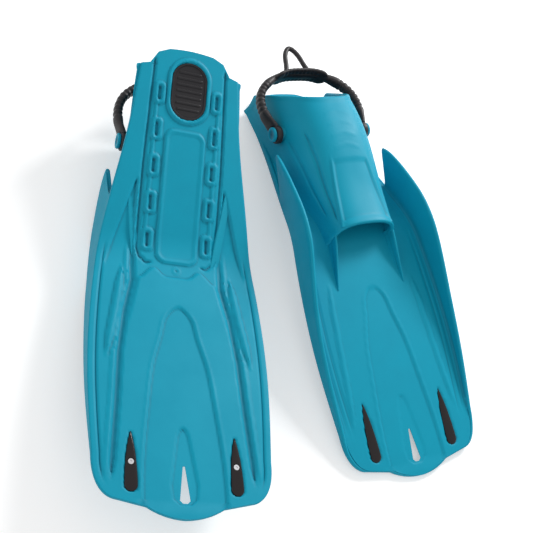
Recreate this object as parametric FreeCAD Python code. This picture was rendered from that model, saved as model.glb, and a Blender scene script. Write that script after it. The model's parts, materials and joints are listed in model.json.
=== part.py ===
"""A pair of open-heel swim fins with moulded heel straps, laid down as a pair.

Millimetres. Each fin is made once in its own frame: x across the fin, y from the heel
to the tip, z up from the sole to the instep. The foot plate is flat and the blade bends
down towards the sole side. The left fin then lies sole up and the right fin sole down,
each tilted as it rests on a floor at z = 0, with the pair's box centred on x = y = 0.
"""
import FreeCAD, Part
import math
import os

V = FreeCAD.Vector

# Sole plate and blade
LENGTH = 560.0  # heel to tip, along the sole
BLADE_WIDTH = 202.0  # at the widest part of the blade
HEEL_WIDTH = 122.0  # across the shoulders beside the heel block
HEEL_BLOCK_WIDTH = 82.0  # the narrower end behind the shoulders
HEEL_ROUND = 13.0  # from the block's side in to its domed end
HEEL_DOME = 2.0
HEEL_CHAMFER = 6.0
SHOULDER_AT = 24.0  # heel end to the shoulders
SHOULDER_STEP = 9.0  # how far the block flares before the shoulder
SHOULDER_DROP = 3.0
LUG_FLARE = 9.0  # how much further out the edge lies beside the lugs
EDGE_BOW = 2.0  # how far the long edges bow out beside the toe and the blade
TOE_AT = 266.0  # heel end to the toe opening
TOE_WIDTH = 187.0  # across the sole plate beside the toe opening
WIDEST_FROM_TIP = 160.0
WING_FROM_TIP = 65.0  # where the wing corners start to round
WING_WIDTH = 192.0
WING_DRAW_IN = 7.0  # at the middle of the wing's round
CORNER_WIDTH = 146.0  # between the ends of the two corner rounds
CORNER_FROM_TIP = 19.0
LOBE_WIDTH = 82.0  # the round lobe in the middle of the tip
LOBE_DEPTH = 12.0
PLATE_THICK = 7.0  # under the foot
TIP_THICK = 5.0
BEND_AT = 248.0  # middle of the bend, from the heel
BEND_ANGLE = 23.0  # degrees, blade down towards the sole side
BEND_RADIUS = 110.0

# Side rails
RAIL_THICK = 5.0
RAIL_HEIGHT = 45.0  # above the sole, beside the toe opening
RAIL_HORN_AT = 150.0  # rear point of the rail
RAIL_HORN_HEIGHT = 38.0
RAIL_FOOT_AT = 190.0  # where the rail's rear edge meets the plate
RAIL_HORN_CUT = 9.0  # how far the cut behind the rail runs past its corner
RAIL_FOOT_RISE = 14.0  # the rail's rear edge bends this far above the sole
RAIL_FOOT_BACK = 12.0
RAIL_FALL = [(0.33, 0.62), (0.66, 0.36)]  # (share of the way to the tip, share of height)
RAIL_END_FROM_TIP = 42.0

# Foot pocket
POCKET_WALL = 4.0
POCKET_REAR = 26.0  # heel end to the pocket's rear edge
INSTEP_AT = 105.0
INSTEP_HEIGHT = 90.0
POCKET_WIDTH = 122.0  # outside, at the instep
POCKET_REAR_WIDTH = 116.0
POCKET_TOE_WIDTH = 88.0
POCKET_TOE_HEIGHT = 36.0
COLLAR_REAR_HEIGHT = 30.0  # rim height at the pocket's rear edge
COLLAR_SLOPE = 39.0  # degrees
ARCH_POWER = 2.6  # 2 is an ellipse, more is squarer
POCKET_FALL = [(0.3, 0.12, 0.22), (0.65, 0.5, 0.68)]  # shares of the way, narrowing and fall to the toe
ARCH_FLOOR = -14.0  # how deep the pocket is drawn before the plate trims it
TOE_FLOOR = 4.0  # how deep the toe ribs are
RIB_LENGTH = 58.0  # low ribs that run on from the corners of the toe opening
RIB_THICK = 4.0
RIB_LAP = 5.0  # how far a rib runs back into the pocket
RIB_FLARE = 7.0
RIB_TOP = [0.6, 0.38]  # share of the toe's height at the rib's root and middle

# Strap lugs and heel strap
STRAP_AT = 112.0  # swing axis of the strap, from the heel
STRAP_HEIGHT = 40.0
LUG_RADIUS = 6.5
LUG_HEAD_RADIUS = 9.5
LUG_HEAD_THICK = 4.0
STRAP_END_RADIUS = 11.5
STRAP_END_THICK = 8.0
STRAP_GAP = 0.4  # running clearance of the strap's ends
STRAP_WIDE = 12.0  # arm height across its thickness
STRAP_THICK = 9.0
STRAP_BULGE = 8.0  # how far the arms bow out past the lugs
STRAP_REACH = 92.0  # swing axis to the middle of the heel pad
STRAP_REST = 14.0  # degrees above the sole plane
PAD_WIDTH = 84.0
PAD_TALL = 26.0
PAD_THICK = 6.0
ARM_RING_END = 0.4  # share of the reach where an arm bows out furthest
ARM_TURN = 0.66  # share of the reach where an arm turns in to the pad
ARM_TURN_IN = 5.0
ARM_CORNER = 6.0  # from the pad's side out to the arm's corner
LOOP_WIDTH = 46.0
LOOP_REACH = 46.0
LOOP_THICK = 6.5
LOOP_CROWN = 0.45  # share of the loop's half width where its crown starts
LOOP_CROWN_DROP = 8.0

# Sole badge and tip inserts
BADGE_WIDTH = 44.0
BADGE_LENGTH = 72.0
BADGE_AT = 49.0  # heel end to the badge's middle
BADGE_THICK = 2.6
BADGE_SEAT = 2.0
SEAT_GAP = 0.15
INSERT_APART = 112.0  # between the middles of the two inserts
INSERT_FROM_TIP = 33.0  # round end's middle, from the tip
INSERT_WIDTH = 14.0
INSERT_LENGTH = 64.0
INSERT_TOP_EXTRA = 6.0  # the top shell is this much longer
INSERT_THICK = 2.2
INSERT_SEAT = 1.4
INSERT_POINT = 1.6  # width of an insert's pointed end
SCREW_FROM_TIP = 57.0  # about halfway along the insert
SCREW_RADIUS = 1.5
SCREW_HEAD_RADIUS = 3.0
SCREW_HEAD_THICK = 1.2
SCREW_SEAT = 0.4  # head below the shell's face
SCREW_TIP_GAP = 0.2  # the screw's end to the top shell
SOCKET_RADIUS = 1.2
SOCKET_DEPTH = 0.6
THREAD_GAP = 0.05
BUSH_RADIUS = 3.0
SLOT_WIDTH = 11.0
SLOT_POINT = 2.4  # width of the slot's pointed end
SLOT_CORNER = 3.0
SLOT_TOP_FROM_TIP = 56.0
SLOT_END_FROM_TIP = 17.0

# Where the right fin lies, seen from above, from the left fin's middle
RIGHT_OFFSET_X = 240.0
RIGHT_OFFSET_Y = 66.0
RIGHT_HEADING = 15.5  # degrees, anticlockwise
MIDDLE_AT = 280.0  # the point of each fin that the offsets join

BIG = 400.0  # past everything
OVER = 20.0  # how far a cutting shape runs past what it cuts
STEP = 14.0  # between the points of a profile


def bend_start():
    return BEND_AT - BEND_RADIUS * math.radians(BEND_ANGLE) / 2


def sole_point(s, h):
    """(y, z) of the point s along the sole from the heel and h above it."""
    start, angle = bend_start(), math.radians(BEND_ANGLE)
    turned = min(max((s - start) / BEND_RADIUS, 0.0), angle)
    past = max(s - start - BEND_RADIUS * angle, 0.0)
    radius = BEND_RADIUS + h
    y = min(s, start) + radius * math.sin(turned) + past * math.cos(turned)
    z = -BEND_RADIUS + radius * math.cos(turned) - past * math.sin(turned)
    return y, z


def spline(points):
    curve = Part.BSplineCurve()
    curve.interpolate(points)
    return curve.toShape()


def lines(points):
    return [Part.LineSegment(a, b).toShape() for a, b in zip(points, points[1:])]


def along(stations, s):
    """Value at s on straight lines through (s, value) stations."""
    for (a, low), (b, high) in zip(stations, stations[1:]):
        if s <= b:
            share = max((s - a) / (b - a), 0.0)
            return low + (high - low) * share
    return stations[-1][1]


def edge_stations():
    """(distance from the heel, half width) along the side, shoulder to wing."""
    heel, toe, blade_half = HEEL_WIDTH / 2, TOE_WIDTH / 2, BLADE_WIDTH / 2
    beside_lug = heel + LUG_FLARE
    widest_at = LENGTH - WIDEST_FROM_TIP
    return [
        (SHOULDER_AT, heel),
        (STRAP_AT, beside_lug),
        ((STRAP_AT + TOE_AT) / 2, (beside_lug + toe + EDGE_BOW) / 2),
        (TOE_AT, toe),
        ((TOE_AT + widest_at) / 2, (toe + blade_half) / 2 + EDGE_BOW),
        (widest_at, blade_half),
        (LENGTH - WING_FROM_TIP, WING_WIDTH / 2),
    ]


def plan_prism(inset=0.0):
    """Everything above and below the outline, drawn in on its long sides by inset."""

    def at(x, s, side):
        return V(side * x, sole_point(s, 0)[0], -BIG)

    block = HEEL_BLOCK_WIDTH / 2
    corner, lobe = CORNER_WIDTH / 2, LOBE_WIDTH / 2
    lobe_at = LENGTH - LOBE_DEPTH
    flat = block - HEEL_ROUND
    edges = [Part.Arc(at(flat, 0, 1), at(0, -HEEL_DOME, 1), at(flat, 0, -1)).toShape()]
    for side in (1, -1):
        shoulder = [(flat, 0), (block, HEEL_CHAMFER)]
        shoulder.append((block + SHOULDER_STEP, SHOULDER_AT - SHOULDER_DROP))
        shoulder.append((HEEL_WIDTH / 2 - inset, SHOULDER_AT))
        edges += lines([at(x, s, side) for x, s in shoulder])
        edges.append(spline([at(w - inset, s, side) for s, w in edge_stations()]))
        wing = at(WING_WIDTH / 2 - inset, LENGTH - WING_FROM_TIP, side)
        middle = at(WING_WIDTH / 2 - WING_DRAW_IN, LENGTH - WING_FROM_TIP / 2, side)
        end = at(corner, LENGTH - CORNER_FROM_TIP, side)
        edges.append(spline([wing, middle, end]))
        edges += lines([end, at(lobe, lobe_at, side)])
    edges.append(Part.Arc(at(lobe, lobe_at, 1), at(0, LENGTH, 1), at(lobe, lobe_at, -1)).toShape())
    wire = Part.Wire(Part.__sortEdges__(edges))
    return Part.Face(wire).extrude(V(0, 0, 2 * BIG))


def side_prism(low, high):
    """A side profile between two lines of (s, h) points, run across the whole width."""
    bottom = [V(-BIG, *sole_point(s, h)) for s, h in low]
    top = [V(-BIG, *sole_point(s, h)) for s, h in high]
    edges = [spline(bottom), spline(top)]
    edges += lines([bottom[0], top[0]]) + lines([bottom[-1], top[-1]])
    wire = Part.Wire(Part.__sortEdges__(edges))
    return Part.Face(wire).extrude(V(2 * BIG, 0, 0))


def plate_stations():
    """(s, thickness) of the sole plate and blade."""
    return [(-OVER, PLATE_THICK), (bend_start(), PLATE_THICK), (LENGTH + OVER, TIP_THICK)]


def stepped(stations, height=None):
    """(s, h) points close enough together to follow the bend."""
    first, last = stations[0][0], stations[-1][0]
    count = max(int((last - first) / STEP), 4)
    places = [first + (last - first) * i / count for i in range(count + 1)]
    return [(s, along(stations, s) if height is None else height) for s in places]


def sole_plate():
    thick = plate_stations()
    return side_prism(stepped(thick, 0.0), stepped(thick)).common(plan_prism())


def rail_stations():
    """(s, height) of the rails' top edge, horn to tip."""
    end = LENGTH - RAIL_END_FROM_TIP
    fall = end - TOE_AT
    stations = [
        (RAIL_HORN_AT, RAIL_HORN_HEIGHT),
        ((RAIL_HORN_AT + TOE_AT) / 2, RAIL_HEIGHT),
        (TOE_AT, RAIL_HEIGHT),
    ]
    stations += [(TOE_AT + way * fall, RAIL_HEIGHT * left) for way, left in RAIL_FALL]
    return stations + [(end, along(plate_stations(), end))]


def rails():
    """Two upright walls on the outline, pointed at the rear, falling to nothing."""
    tops = rail_stations()
    end = tops[-1][0]
    in_plate = stepped([(RAIL_HORN_AT, 0.0), (end, 0.0)], TIP_THICK / 2)
    body = side_prism(in_plate, stepped(tops))
    behind = RAIL_HORN_AT - RAIL_HORN_CUT
    horn = [(behind, -RAIL_HORN_CUT), (RAIL_FOOT_AT, -RAIL_HORN_CUT)]
    horn.append((RAIL_FOOT_AT - RAIL_FOOT_BACK, RAIL_FOOT_RISE))
    horn.append((behind, RAIL_HORN_HEIGHT + RAIL_HORN_CUT / 3))
    corners = [V(-BIG, *sole_point(s, h)) for s, h in horn]
    away = Part.Face(Part.makePolygon(corners + corners[:1])).extrude(V(2 * BIG, 0, 0))
    band = plan_prism().cut(plan_prism(RAIL_THICK))
    return body.cut(away).common(band)


def half_arch(s, width, height):
    """Right half of a superellipse arch at s, on a straight foot."""
    points, count = [], 5
    for i in range(count + 1):
        turn = math.pi / 2 * i / count
        across = width / 2 * math.cos(turn) ** (2 / ARCH_POWER) if i < count else 0.0
        up = math.sin(turn) ** (2 / ARCH_POWER)
        points.append(V(across, s, PLATE_THICK + (height - PLATE_THICK) * up))
    edges = [spline(points)]
    edges += lines([points[-1], V(0, s, ARCH_FLOOR), V(width / 2, s, ARCH_FLOOR), points[0]])
    return Part.Wire(Part.__sortEdges__(edges))


def pocket_stations():
    """(s, outside width, outside height) of the foot pocket."""
    span, narrowing = TOE_AT - INSTEP_AT, POCKET_WIDTH - POCKET_TOE_WIDTH
    fall = INSTEP_HEIGHT - POCKET_TOE_HEIGHT
    stations = [
        (POCKET_REAR, POCKET_REAR_WIDTH, INSTEP_HEIGHT),
        (INSTEP_AT, POCKET_WIDTH, INSTEP_HEIGHT),
    ]
    for way, drawn_in, fallen in POCKET_FALL:
        width, height = POCKET_WIDTH - drawn_in * narrowing, INSTEP_HEIGHT - fallen * fall
        stations.append((INSTEP_AT + way * span, width, height))
    return stations + [(TOE_AT, POCKET_TOE_WIDTH, POCKET_TOE_HEIGHT)]


def pocket_loft(wall, over):
    """Right half inside the pocket's outer skin less wall, run on by over at both ends."""
    stations = pocket_stations()
    if over:
        first, last = stations[0], stations[-1]
        stations = [(first[0] - over,) + first[1:]] + stations + [(last[0] + over,) + last[1:]]
    wires = [half_arch(s, width - 2 * wall, height - wall) for s, width, height in stations]
    return Part.makeLoft(wires, True, False)


def pocket_half_width(s, z):
    stations = pocket_stations()
    width = along([(a, w) for a, w, _ in stations], s)
    height = along([(a, h) for a, _, h in stations], s)
    share = max(z - PLATE_THICK, 0) / (height - PLATE_THICK)
    return width / 2 * (1 - share**ARCH_POWER) ** (1 / ARCH_POWER)


def toe_rib():
    """Rib that carries the pocket's right wall on along the blade."""
    root, far = TOE_AT - RIB_LAP, TOE_AT + RIB_LENGTH
    low = [(root - 1, -TOE_FLOOR), (far, -TOE_FLOOR)]
    at_root, at_middle = (share * POCKET_TOE_HEIGHT for share in RIB_TOP)
    high = [(root - 1, at_root), (TOE_AT, at_root), (TOE_AT + RIB_LENGTH / 2, at_middle)]
    high.append((far, along(plate_stations(), far) + 1))
    out = POCKET_TOE_WIDTH / 2
    corners = [
        V(out - RIB_THICK, root, -BIG),
        V(out, root, -BIG),
        V(out + RIB_FLARE, far, -BIG),
        V(out + RIB_FLARE - RIB_THICK * 0.6, far, -BIG),
    ]
    face = Part.Face(Part.makePolygon(corners + corners[:1]))
    return face.extrude(V(0, 0, 2 * BIG)).common(side_prism(stepped(low), stepped(high)))


def lug():
    """Post and head that the right end of the heel strap swings on."""
    wall = pocket_half_width(STRAP_AT, STRAP_HEIGHT) - POCKET_WALL / 2
    start = V(wall, STRAP_AT, STRAP_HEIGHT)
    out = lug_head_at() - wall
    post = Part.makeCylinder(LUG_RADIUS, out + LUG_HEAD_THICK / 2, start, V(1, 0, 0))
    head_at = V(lug_head_at(), STRAP_AT, STRAP_HEIGHT)
    return post.fuse(Part.makeCylinder(LUG_HEAD_RADIUS, LUG_HEAD_THICK, head_at, V(1, 0, 0)))


def strap_end_at():
    """Inner face of the strap's end, clear of the pocket's side."""
    low = pocket_half_width(STRAP_AT, STRAP_HEIGHT - STRAP_END_RADIUS)
    return low + 2 * STRAP_GAP


def lug_head_at():
    return strap_end_at() + STRAP_END_THICK + STRAP_GAP


def collar_cut():
    """Everything above the sloping rim of the ankle opening."""
    above = Part.makeBox(2 * BIG, 2 * BIG, BIG, V(-BIG, -BIG, 0))
    above.rotate(V(0, 0, 0), V(1, 0, 0), COLLAR_SLOPE)
    above.translate(V(0, POCKET_REAR, COLLAR_REAR_HEIGHT))
    return above


def foot_pocket():
    """Open-ended shoe on the sole plate, made as its right half and mirrored."""
    thick = plate_stations()
    below = side_prism(stepped(thick, 2 * ARCH_FLOOR), stepped(thick))
    shell = pocket_loft(0.0, 0.0).cut(pocket_loft(POCKET_WALL, OVER))
    half = shell.cut(collar_cut()).cut(below)
    half = half.multiFuse([toe_rib().cut(below), lug()])
    return half.fuse(half.mirror(V(0, 0, 0), V(1, 0, 0))).removeSplitter()


def on_blade(shape):
    """Moves a shape drawn at (x, s - LENGTH, h) onto the straight part of the blade."""
    shape = shape.copy()
    shape.rotate(V(0, 0, 0), V(1, 0, 0), -BEND_ANGLE)
    y, z = sole_point(LENGTH, 0)
    shape.translate(V(0, y, z))
    return shape


def teardrop(x, length, width, low, high, shrink=0.0):
    """Prism with a round end towards the tip and a point towards the heel."""
    radius = width / 2 - shrink
    centre = -INSERT_FROM_TIP
    point = centre - (length - width / 2) + 2 * shrink
    ends = [V(x - radius, centre, low), V(x + radius, centre, low)]
    nose = [V(x - INSERT_POINT / 2, point, low), V(x + INSERT_POINT / 2, point, low)]
    edges = [Part.Arc(ends[0], V(x, centre + radius, low), ends[1]).toShape()]
    edges += lines([ends[1], nose[1], nose[0], ends[0]])
    wire = Part.Wire(Part.__sortEdges__(edges))
    return Part.Face(wire).extrude(V(0, 0, high - low))


def insert_levels():
    """Sole seat and top seat heights at the inserts, above the sole."""
    thick = along(plate_stations(), LENGTH - SCREW_FROM_TIP)
    return INSERT_SEAT, thick - INSERT_SEAT


def insert_x():
    return INSERT_APART / 2


def screw_axis(x, low, high, radius):
    return Part.makeCylinder(radius, high - low, V(x, -SCREW_FROM_TIP, low))


def slot_prism():
    """The through slot at the tip: a long point towards the heel, square end outward."""
    top, end = -SLOT_TOP_FROM_TIP, -SLOT_END_FROM_TIP
    right = [(SLOT_POINT / 2, top), (SLOT_WIDTH / 2, end - SLOT_CORNER)]
    right.append((SLOT_WIDTH / 2 - SLOT_CORNER, end))
    outline = right + [(-x, s) for x, s in reversed(right)]
    corners = [V(x, s, -OVER) for x, s in outline]
    return Part.Face(Part.makePolygon(corners + corners[:1])).extrude(V(0, 0, 2 * OVER))


def blade():
    """Foot plate, blade and rails, with the seats for badge and inserts."""
    body = sole_plate().fuse(rails())
    body = body.cut(on_blade(slot_prism()))
    body = body.cut(badge_shape(-OVER, BADGE_SEAT, 0.0))
    low_seat, top_seat = insert_levels()
    longer = INSERT_LENGTH + INSERT_TOP_EXTRA
    for x in (-insert_x(), insert_x()):
        body = body.cut(on_blade(teardrop(x, INSERT_LENGTH, INSERT_WIDTH, -OVER, low_seat)))
        body = body.cut(on_blade(teardrop(x, longer, INSERT_WIDTH, top_seat, OVER)))
        body = body.cut(on_blade(screw_axis(x, -OVER, OVER, BUSH_RADIUS)))
    return body.removeSplitter()


def badge_shape(low, high, shrink):
    """Upright oval with straight sides."""
    radius = BADGE_WIDTH / 2 - shrink
    reach = BADGE_LENGTH / 2 - BADGE_WIDTH / 2
    a, b = BADGE_AT - reach, BADGE_AT + reach
    edges = [Part.Arc(V(-radius, a, low), V(0, a - radius, low), V(radius, a, low)).toShape()]
    edges.append(Part.Arc(V(-radius, b, low), V(0, b + radius, low), V(radius, b, low)).toShape())
    edges += lines([V(-radius, a, low), V(-radius, b, low)])
    edges += lines([V(radius, a, low), V(radius, b, low)])
    wire = Part.Wire(Part.__sortEdges__(edges))
    return Part.Face(wire).extrude(V(0, 0, high - low))


def sole_badge():
    return badge_shape(BADGE_SEAT - BADGE_THICK, BADGE_SEAT, SEAT_GAP)


def sole_insert(x):
    """Shell seated in the sole side, with the countersink for its screw."""
    seat, _ = insert_levels()
    face = seat - INSERT_THICK
    body = teardrop(x, INSERT_LENGTH, INSERT_WIDTH, face, seat, SEAT_GAP)
    head = screw_axis(x, face, face + SCREW_SEAT + SCREW_HEAD_THICK, SCREW_HEAD_RADIUS + SEAT_GAP)
    hole = screw_axis(x, face, seat, SCREW_RADIUS + SEAT_GAP)
    return on_blade(body.cut(head).cut(hole))


def top_insert(x):
    """Shell seated in the top side: it covers the bush."""
    _, seat = insert_levels()
    longer = INSERT_LENGTH + INSERT_TOP_EXTRA
    return on_blade(teardrop(x, longer, INSERT_WIDTH, seat, seat + INSERT_THICK, SEAT_GAP))


def bush(x):
    """Threaded bush between the two shells."""
    low, high = insert_levels()
    body = screw_axis(x, low, high, BUSH_RADIUS)
    return on_blade(body.cut(screw_axis(x, low - 1, high + 1, SCREW_RADIUS + THREAD_GAP)))


def screw(x):
    low, high = insert_levels()
    face = low - INSERT_THICK + SCREW_SEAT
    head = screw_axis(x, face, face + SCREW_HEAD_THICK, SCREW_HEAD_RADIUS)
    socket = screw_axis(x, face, face + SOCKET_DEPTH, SOCKET_RADIUS)
    shank = screw_axis(x, face, high - SCREW_TIP_GAP, SCREW_RADIUS)
    return on_blade(head.fuse(shank).cut(socket))


def band(inner, outer, tall):
    """Solid between two open curves of (x, reach) points, tall across their plane."""
    a = [V(x, -u, -tall / 2) for x, u in inner]
    b = [V(x, -u, -tall / 2) for x, u in outer]
    edges = [spline(a), spline(b)] + lines([a[0], b[0]]) + lines([a[-1], b[-1]])
    wire = Part.Wire(Part.__sortEdges__(edges))
    return Part.Face(wire).extrude(V(0, 0, tall))


def mirrored(points):
    return points + [(-x, u) for x, u in reversed(points) if x > 0]


def strap_line(shift):
    """The strap's middle line from lug to pad, pushed out by shift."""
    end = strap_end_at() + STRAP_END_THICK / 2
    out = end + STRAP_BULGE
    pad = PAD_WIDTH / 2
    line = [
        (end + shift, STRAP_GAP * 10),
        (out + shift, STRAP_REACH * ARM_RING_END),
        (out - ARM_TURN_IN + shift, STRAP_REACH * ARM_TURN),
        (pad + ARM_CORNER + shift * 0.8, STRAP_REACH * 0.88 + shift * 0.6),
        (pad * 0.5, STRAP_REACH * 0.99 + shift),
        (0.0, STRAP_REACH + shift),
    ]
    return mirrored(line)


def pad_line(shift):
    half = PAD_WIDTH / 2
    return mirrored([
        (half, STRAP_REACH * 0.9 + shift),
        (half * 0.5, STRAP_REACH * 0.985 + shift),
        (0.0, STRAP_REACH + shift),
    ])


def finger_loop():
    """Open arch behind the heel pad for a finger."""
    half, start = LOOP_WIDTH / 2, STRAP_REACH
    crown = start + LOOP_REACH
    narrow = LOOP_THICK
    outer = [(half, start), (half * LOOP_CROWN, crown - LOOP_CROWN_DROP), (0.0, crown)]
    inner = [(half - narrow, start)]
    inner += [(half * LOOP_CROWN - narrow, crown - LOOP_CROWN_DROP - narrow * 0.5)]
    inner += [(0.0, crown - narrow)]
    a = [V(x, -u, -LOOP_THICK / 2) for x, u in mirrored(outer)]
    b = [V(x, -u, -LOOP_THICK / 2) for x, u in mirrored(inner)]
    edges = lines([a[0], a[1]]) + [Part.Arc(a[1], a[2], a[3]).toShape()] + lines([a[3], a[4]])
    edges += lines([b[0], b[1]]) + [Part.Arc(b[1], b[2], b[3]).toShape()] + lines([b[3], b[4]])
    edges += lines([a[0], b[0]]) + lines([a[4], b[4]])
    wire = Part.Wire(Part.__sortEdges__(edges))
    return Part.Face(wire).extrude(V(0, 0, LOOP_THICK))


def heel_strap():
    """One moulding: two ends on the lugs, bowed arms, heel pad and finger loop."""
    arms = band(strap_line(-STRAP_THICK / 2), strap_line(STRAP_THICK / 2), STRAP_WIDE)
    pad = band(pad_line(-PAD_THICK / 2), pad_line(PAD_THICK / 2), PAD_TALL)
    pieces = [pad, finger_loop()]
    for side in (1, -1):
        start = V(side * strap_end_at(), 0, 0)
        pieces.append(Part.makeCylinder(STRAP_END_RADIUS, STRAP_END_THICK, start, V(side, 0, 0)))
    strap = arms.multiFuse(pieces)
    hole = Part.makeCylinder(LUG_RADIUS + STRAP_GAP, 2 * BIG, V(-BIG, 0, 0), V(1, 0, 0))
    strap = strap.cut(hole)
    for side in (1, -1):
        start = V(side * (lug_head_at() - STRAP_GAP), 0, 0)
        room = Part.makeCylinder(LUG_HEAD_RADIUS + STRAP_GAP, BIG, start, V(side, 0, 0))
        strap = strap.cut(room)
    strap = strap.removeSplitter()
    strap.rotate(V(0, 0, 0), V(1, 0, 0), -STRAP_REST)
    strap.translate(V(0, STRAP_AT, STRAP_HEIGHT))
    return strap


def fin_pieces():
    """Every piece of one fin, in the fin's own frame."""
    x = insert_x()
    pieces = {
        "blade": blade(),
        "foot_pocket": foot_pocket(),
        "heel_strap": heel_strap(),
        "sole_badge": sole_badge(),
    }
    for name, place in (("inner", -x), ("outer", x)):
        pieces[name + "_sole_insert"] = sole_insert(place)
        pieces[name + "_top_insert"] = top_insert(place)
        pieces[name + "_bush"] = bush(place)
        pieces[name + "_screw"] = screw(place)
    return {name: one_solid(name, shape) for name, shape in pieces.items()}


def one_solid(name, shape):
    if len(shape.Solids) != 1:
        raise ValueError(f"{name} came out as {len(shape.Solids)} solids")
    return shape.Solids[0]


def lower_hull(points):
    """The underside of a set of (y, z) points, from low y to high y."""
    hull = []
    for p in sorted(points):
        while len(hull) > 1:
            (ay, az), (by, bz) = hull[-2], hull[-1]
            if (by - ay) * (p[1] - az) - (bz - az) * (p[0] - ay) > 0:
                break
            hull.pop()
        hull.append(p)
    return hull


def rest_tilt(pieces, turn):
    """Turn about x that sets the fin down on the two edges either side of its weight."""
    moulding = [pieces["blade"], pieces["foot_pocket"]]
    points, weight, reach, rise = [], 0.0, 0.0, 0.0
    for shape in moulding:
        shape = shape.copy()
        shape.Placement = FreeCAD.Placement(V(0, 0, 0), turn).multiply(shape.Placement)
        points += [(p.y, p.z) for p in shape.tessellate(1.0)[0]]
        weight += shape.Volume
        reach += shape.Volume * shape.CenterOfMass.y
        rise += shape.Volume * shape.CenterOfMass.z
    y, z = reach / weight, rise / weight
    hull = lower_hull(points)
    for (ay, az), (by, bz) in zip(hull, hull[1:]):
        share = ((y - ay) * (by - ay) + (z - az) * (bz - az)) / ((by - ay) ** 2 + (bz - az) ** 2)
        if 0 <= share <= 1:
            return -math.degrees(math.atan2(bz - az, by - ay))
    raise ValueError("the fin has no edge to rest on")


def lay_down(pieces, turn, heading, x, y):
    """Tilts a fin to rest, turns it to its heading and sets it on the floor at (x, y)."""
    tilt = FreeCAD.Rotation(V(1, 0, 0), rest_tilt(pieces, turn))
    spin = FreeCAD.Rotation(V(0, 0, 1), heading)
    rotation = spin.multiply(tilt).multiply(turn)
    middle = rotation.multVec(V(0, MIDDLE_AT, 0))
    laid = {}
    for name, shape in pieces.items():
        shape = shape.copy()
        laid_at = FreeCAD.Placement(V(x, y, 0) - middle, rotation)
        shape.Placement = laid_at.multiply(shape.Placement)
        laid[name] = shape
    moulding = [laid["blade"], laid["foot_pocket"]]
    floor = min(shape.optimalBoundingBox().ZMin for shape in moulding)
    for shape in laid.values():
        shape.translate(V(0, 0, -floor))
    return laid, rotation, V(x, y, -floor) - middle


def pair():
    """Both fins on the floor, named by side, and where their straps swing."""
    pieces = fin_pieces()
    turns = {
        "left": (FreeCAD.Rotation(V(1, 0, 0), 180), 0.0, 0.0, 0.0),
        "right": (FreeCAD.Rotation(V(0, 0, 1), 180), RIGHT_HEADING, RIGHT_OFFSET_X, RIGHT_OFFSET_Y),
    }
    nodes, hinges = {}, {}
    for side, (turn, heading, x, y) in turns.items():
        laid, rotation, place = lay_down(pieces, turn, heading, x, y)
        nodes.update({f"{side}_{name}": shape for name, shape in laid.items()})
        pivot = rotation.multVec(V(0, STRAP_AT, STRAP_HEIGHT)) + place
        hinges[side] = (pivot, rotation.multVec(V(1, 0, 0)))
    return nodes, hinges


def main():
    os.makedirs("parts", exist_ok=True)
    nodes, hinges = pair()
    box = Part.makeCompound(list(nodes.values())).optimalBoundingBox()
    shift = V(-box.Center.x, -box.Center.y, 0)
    for name, shape in nodes.items():
        shape.translate(shift)
        shape.exportStep(f"parts/{name}.step")
        print(f"{name}: {len(shape.Solids)} solid, {shape.Volume / 1000:.1f} cm3, valid {shape.isValid()}")
    for side, (pivot, axis) in hinges.items():
        print(side, "strap swings at", (pivot + shift), "about", axis)
    print("box", box.XLength, box.YLength, box.ZMin, box.ZMax)


main()
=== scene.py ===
"""Looks for a pair of open-heel swim fins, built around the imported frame.

A fin's own sizes are in millimetres: x across the fin, s along the sole from the heel and
h up from the sole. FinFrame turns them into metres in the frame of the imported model.
"""

import json
import logging
import math
from dataclasses import dataclass
from enum import Enum
from typing import Callable, Sequence

import bmesh
import bpy
import numpy as np
from mathutils import Matrix, Vector


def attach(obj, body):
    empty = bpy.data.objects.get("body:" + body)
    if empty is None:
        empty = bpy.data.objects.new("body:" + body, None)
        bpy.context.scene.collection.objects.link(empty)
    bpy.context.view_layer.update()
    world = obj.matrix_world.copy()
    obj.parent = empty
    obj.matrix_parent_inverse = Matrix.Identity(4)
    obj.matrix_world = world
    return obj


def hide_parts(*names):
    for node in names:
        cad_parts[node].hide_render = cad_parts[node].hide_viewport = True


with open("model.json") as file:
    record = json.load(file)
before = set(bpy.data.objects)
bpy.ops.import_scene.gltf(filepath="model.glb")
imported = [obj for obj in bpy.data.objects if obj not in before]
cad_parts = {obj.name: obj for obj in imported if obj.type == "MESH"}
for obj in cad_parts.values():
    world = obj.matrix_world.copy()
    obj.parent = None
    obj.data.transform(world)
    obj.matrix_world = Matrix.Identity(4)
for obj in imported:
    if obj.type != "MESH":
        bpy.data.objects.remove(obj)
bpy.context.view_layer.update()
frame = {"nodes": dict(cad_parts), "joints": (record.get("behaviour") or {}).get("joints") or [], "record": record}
MM = 0.001
Array = np.ndarray
Colour = tuple[float, float, float]
Nodes, Links, Socket = bpy.types.Nodes, bpy.types.NodeLinks, bpy.types.NodeSocket
Points = Sequence[tuple[float, float]]
log = logging.getLogger("fins")


# ---------------------------------------------------------------- small tools


def smooth(low: float, high: float, value: Array) -> Array:
    """Eases from 0 at low to 1 at high."""
    share = np.clip((value - low) / (high - low), 0.0, 1.0)
    return share * share * (3.0 - 2.0 * share)


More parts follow.
